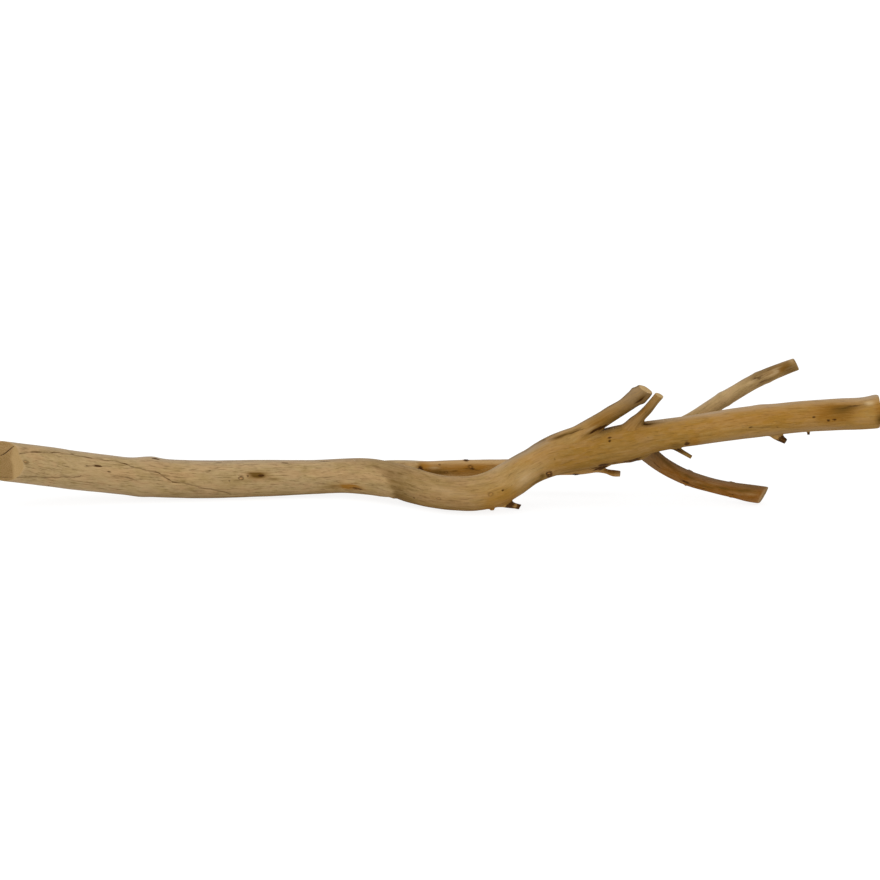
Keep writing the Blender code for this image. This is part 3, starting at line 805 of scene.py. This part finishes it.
# on the top side a grey of painted sheen over a darker painted shade
top_side = strip(lower, 0.1, 0.62) * lower["outer"]
lower["marks"]["grey"] += 0.3 * course(lower, [20, 60], [1, 0]) * lower["outer"]
lower["marks"]["grey"] += 0.5 * top_side * course(lower, [8, 24, 110, 190], [0, 1, 1, 0.5])
lower["marks"]["dusk"] += 0.4 * top_side
root_fillet = ([290, 312], [13, 5])
draw_up(lower, thick, root_fillet)
draw_up(thick, lower, root_fillet)
tip_rim = np.exp(-((lower["along"][:, None] - lower["along"][-1]) / 2) ** 2) * lower["outer"]
lower["marks"]["pale"] += 0.5 * tip_rim
dab(lower, [
    ("dusk", 60, 56, 15, 2.2, 0.7), ("knot", 92, 112, 12, 2.0, 0.7), ("dusk", 122, 98, 14, 2.0, 0.5),
    ("pale", 134, 58, 11, 1.5, 0.2), ("pale", 80, 46, 10, 1.4, 0.2), ("dusk", 148, 76, 12, 1.5, 0.8),
    ("pale", 168, 94, 10, 1.6, 0.2), ("knot", 46, 116, 14, 1.8, 0.6), ("dusk", 182, 58, 9, 1.6, 0.7),
    ("pale", 58, 84, 9, 1.6, 0.15), ("dusk", 98, 66, 10, 1.6, 0.8), ("knot", 116, 122, 14, 1.5, 0.6),
    ("knot", 132, 84, 6, 1.2, 0.4), ("pale", 112, 80, 7, 1.3, 0.2), ("knot", 74, 76, 8, 1.3, 0.6),
    ("knot", 160, 112, 10, 1.4, 0.6), ("pale", 186, 80, 8, 1.6, 0.3), ("dusk", 172, 70, 8, 1.4, 0.7),
])
lower_knobs = [grow_out(lower, knob, 12, 16, 2.0, end_face=3) for knob in [
    [(354, 1, 32.5, 6), (356, -2, 25.5, 2.5)], [(359, 6.5, 39.5, 5), (361.5, 7.5, 44.5, 2.5)],
    [(416.5, 3.5, 24.5, 5), (418.5, 5, 28.5, 2.5)], [(416, -3, 16.5, 6), (415, -6, 10.5, 2.5)],
]]
for knob in lower_knobs:
    knob["marks"]["warm"] += 1.0
    knob["marks"]["cut"] *= 0
    share_marks(knob, lower, 3.0)
low_wood = bare_wood("low_wood", tan=(124, 79, 24), warm=(119, 72, 16), sawn=(122, 90, 44), fleck=0.8)
lower_piece = skin_mesh("lower_branch_skin", [lower] + lower_knobs)
lower_piece.data.materials.append(low_wood)
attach(lower_piece, "root")
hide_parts("lower_branch")

# THE UPPER STUB
# A sawn branch that rises from the top of the thick limb in a long ridge and swells at its end,
# with a short dark spur below the cut. Its face is the palest wood of the branch.
stub = set_out([
    (159.5, -20, 73.5, 13.5), (175.5, -20, 85, 15), (189, -20, 93, 14.5), (203.5, -21, 101.5, 12.5),
    (218, -22, 111, 11.5), (234, -23.5, 121.5, 11), (249.5, -25, 132.5, 10.5),
    (265.5, -26, 143, 10), (277, -26, 152, 11), (287, -26, 159, 11.5), (293.5, -26, 166, 10.5),
], 130, 64, end_slant=(-0.25, -0.15), end_face=10, twist=-0.005)
stub["radius"] += 0.18 * waves(stub, 51, 3, 6, 5) + 0.06 * waves(stub, 52, 8, 16, 8)
stub["marks"]["warm"] += 0.85
stub["marks"]["dusk"] += 0.38 * course(stub, [55, 90], [0, 1]) * stub["outer"]
stub["marks"]["grey"] += 0.28 * course(stub, [105, 140], [0, 1]) * stub["outer"]
# the dusky dabs from 26 to 52 along are painted shade in the crease against the thick limb
dab(stub, [
    ("stain", 96, 72, 14, 8, 0.6), ("stain", 84, 78, 10, 6, 0.5), ("knot", 148, 108, 10, 2.0, 0.8),
    ("dusk", 152, 100, 8, 4, 0.4), ("pale", 110, 30, 40, 6, 0.25), ("pale", 74, 92, 10, 1.6, 0.5),
    ("dusk", 26, 38, 9, 3, 0.9), ("dusk", 38, 42, 9, 3, 0.9), ("dusk", 52, 47, 9, 3, 0.6),
    ("dusk", 72, 112, 13, 3.0, 0.5), ("dusk", 120, 140, 40, 8, 0.5), ("knot", 76, 116, 10, 1.8, 1.6),
    ("knot", 88, 132, 8, 2.2, 1.4),
])
# a grey strip of painted sheen and a darker strip of painted shade near the top
stub["marks"]["grey"] += 0.55 * strip(stub, -0.3, 0.7) * stub["outer"]
stub["marks"]["dusk"] += 0.55 * strip(stub, -0.14, 0.26) * stub["outer"]
cut_crack(stub, [(19, 32), (29, 39), (39, 43), (54, 47), (65, 63)], 1.5, 0.6, 0.85, 4)
stub["radius"] += 2.0 * spot(stub, 151, 352, 6, 10)
ridge_fillet = ([205, 240], [14, 5])
draw_up(stub, thick, ridge_fillet)
draw_up(thick, stub, ridge_fillet)
share_marks(stub, thick, 5.0)
spur = grow_out(stub, [
    (281, -26, 159.5, 7.5), (287, -27, 153.5, 5.5), (290.5, -27.5, 149.5, 3),
], 16, 20, 3.0, end_face=3)
spur["marks"]["knot"] += 0.9
spur["marks"]["warm"] += 0.9
spur["marks"]["cut"] *= 0
share_marks(spur, stub, 1.5)
stub_wood = bare_wood("stub_wood", tan=(160, 136, 97), warm=(148, 108, 44), sawn=(180, 150, 104))
stub_piece = skin_mesh("upper_stub_skin", [stub, spur])
stub_piece.data.materials.append(stub_wood)
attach(stub_piece, "root")
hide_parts("upper_stub")

# the thick limb's mesh takes up the webs that the other limbs have drawn on its skin since
reshape(thick_piece, thick)

# THE FLOOR, THE LIGHT AND THE CAMERA
# A plain white studio floor in an even white room, with one broad soft light high in front.
# The floor glows a little, so that its shadow stays faint. The camera looks down at the branch.
floor_height = -0.0006
corners = [(x, y, floor_height) for x, y in [(-30, -30), (30, -30), (30, 30), (-30, 30)]]
floor_mesh = bpy.data.meshes.new("floor")
floor_mesh.from_pydata(corners, [], [(0, 1, 2, 3)])
floor = bpy.data.objects.new("floor", floor_mesh)
bpy.context.scene.collection.objects.link(floor)
paper = bpy.data.materials.new("floor_paper")
paper.use_nodes = True
paper_shader = paper.node_tree.nodes["Principled BSDF"]
paper_shader.inputs["Base Color"].default_value = (0.15, 0.15, 0.15, 1)
paper_shader.inputs["Emission Color"].default_value = (1, 1, 1, 1)
paper_shader.inputs["Emission Strength"].default_value = 0.86
paper_shader.inputs["Roughness"].default_value = 0.9
floor_mesh.materials.append(paper)

room = bpy.data.worlds.new("room")
room.use_nodes = True
room.node_tree.nodes["Background"].inputs["Color"].default_value = (1, 1, 1, 1)
room.node_tree.nodes["Background"].inputs["Strength"].default_value = 0.78
bpy.context.scene.world = room
bpy.context.scene.view_settings.view_transform = "Standard"

lamp = bpy.data.lights.new("soft_light", "SUN")
lamp.angle = 1.3
lamp.energy = 1.7
soft_light = bpy.data.objects.new("soft_light", lamp)
soft_light.rotation_euler = (0.5, -0.15, 0)
bpy.context.scene.collection.objects.link(soft_light)

lens = bpy.data.cameras.new("camera")
lens.lens = 85
lens.sensor_width = 36
look_down = 15
camera = bpy.data.objects.new("camera", lens)
camera.location = (0.0195, -2.7191, 0.8177)
camera.rotation_euler = (np.radians(90 - look_down), 0, 0)
bpy.context.scene.collection.objects.link(camera)
bpy.context.scene.camera = camera
